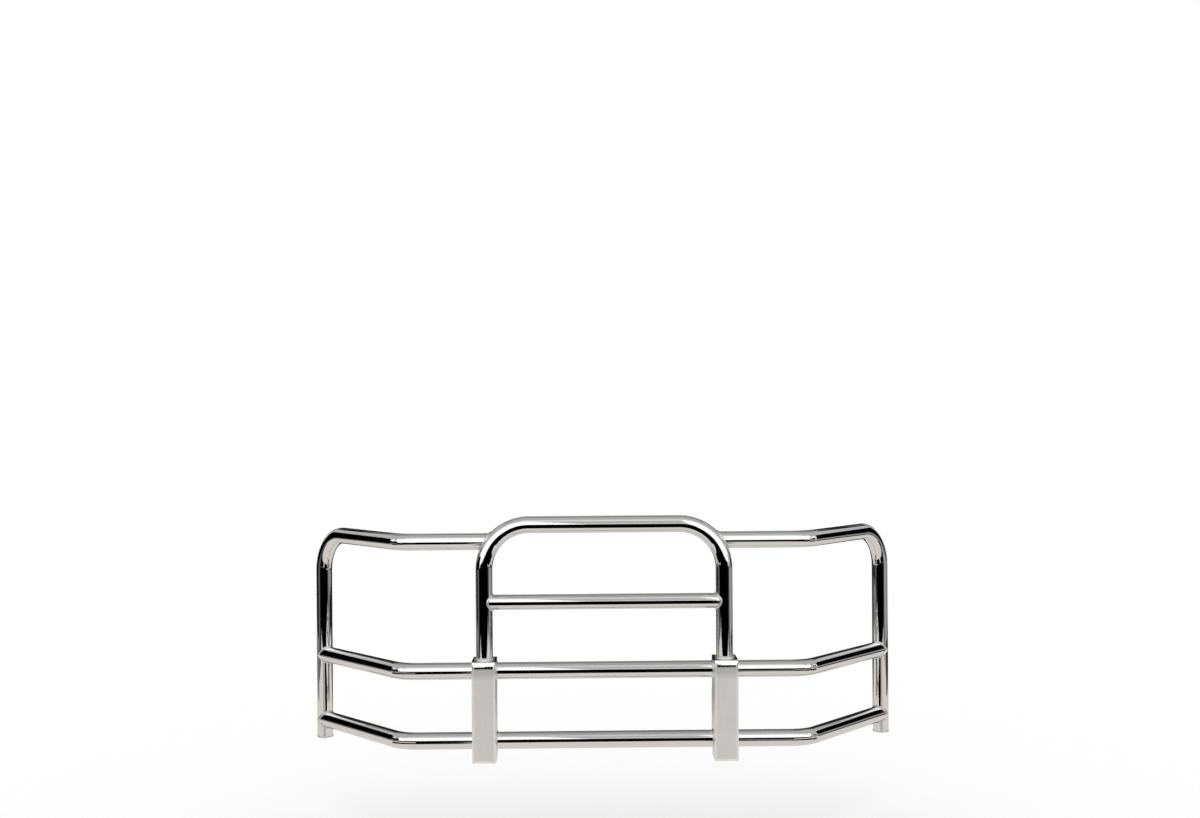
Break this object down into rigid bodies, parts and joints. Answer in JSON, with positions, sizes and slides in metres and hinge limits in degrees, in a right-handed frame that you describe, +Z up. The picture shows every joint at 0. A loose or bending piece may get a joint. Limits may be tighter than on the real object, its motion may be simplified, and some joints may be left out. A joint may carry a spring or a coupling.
{
  "type": "front grille guard",
  "caption": "Wrap-round tubular truck grille guard on formed posts, folding forwards on pivot bolts in frame brackets, with sliding lock pins.",
  "frame": {"origin": "middle of the guard's footprint, level with the caps under the upright tubes at its ends", "axes": "+Z up, -Y out of the front of the guard and away from the truck, +X to the right as seen from in front, across the truck"},
  "size_m": [2.3368, 0.5334, 0.9287],
  "materials": {
    "polished_tube": "mirror-polished stainless tube, welds blended and polished",
    "satin_post": "satin stainless sheet, grained along the post",
    "powder_coat": "black powder coat, fine texture",
    "zinc_plate": "zinc plate, dull",
    "bronze_bush": "turned bronze, oiled",
    "stop_rubber": "moulded black rubber, matt"
  },
  "bodies": {
    "brackets": {"bracket_arm_left": "powder_coat", "bracket_arm_right": "powder_coat", "bracket_flange_left": "powder_coat", "bracket_flange_right": "powder_coat", "bracket_gussets_left": "powder_coat", "bracket_gussets_right": "powder_coat", "pivot_boss_left": "powder_coat", "pivot_boss_right": "powder_coat", "pivot_bushes_left": "bronze_bush", "pivot_bushes_right": "bronze_bush", "lock_boss_left": "powder_coat", "lock_boss_right": "powder_coat", "stop_seat_left": "powder_coat", "stop_seat_right": "powder_coat", "bump_stop_left": "stop_rubber", "bump_stop_right": "stop_rubber", "stop_screws_left": "zinc_plate", "stop_screws_right": "zinc_plate"},
    "guard": {"centre_hoop": "polished_tube", "hoop_crossbar": "polished_tube", "left_post": "satin_post", "right_post": "satin_post", "upper_bar_left": "polished_tube", "upper_bar_right": "polished_tube", "middle_bar_centre": "polished_tube", "middle_bar_left": "polished_tube", "middle_bar_right": "polished_tube", "lower_bar_centre": "polished_tube", "lower_bar_left": "polished_tube", "lower_bar_right": "polished_tube", "middle_wing_left": "polished_tube", "middle_wing_right": "polished_tube", "lower_wing_left": "polished_tube", "lower_wing_right": "polished_tube", "outer_frame_left": "polished_tube", "outer_frame_right": "polished_tube", "tube_cap_left": "polished_tube", "tube_cap_right": "polished_tube", "stop_strap_left": "satin_post", "stop_strap_right": "satin_post", "fold_stop_left": "satin_post", "fold_stop_right": "satin_post", "pivot_doublers_left": "satin_post", "pivot_doublers_right": "satin_post", "pivot_bolt_left": "zinc_plate", "pivot_bolt_right": "zinc_plate", "pivot_washers_left": "zinc_plate", "pivot_washers_right": "zinc_plate", "pivot_nut_left": "zinc_plate", "pivot_nut_right": "zinc_plate", "pin_guide_left": "satin_post", "pin_guide_right": "satin_post"},
    "left_pin": {"lock_pin_left": "zinc_plate"},
    "right_pin": {"lock_pin_right": "zinc_plate"}
  },
  "joints": [
    {"name": "guard_fold", "type": "hinge", "parent": "brackets", "child": "guard", "pos_m": [0, -0.11173, 0.062], "axis": [1, 0, 0], "range_deg": [0, 90]},
    {"name": "left_lock", "type": "slide", "parent": "guard", "child": "left_pin", "axis": [1, 0, 0], "range_m": [0, 0.087]},
    {"name": "right_lock", "type": "slide", "parent": "guard", "child": "right_pin", "axis": [-1, 0, 0], "range_m": [0, 0.087]}
  ]
}
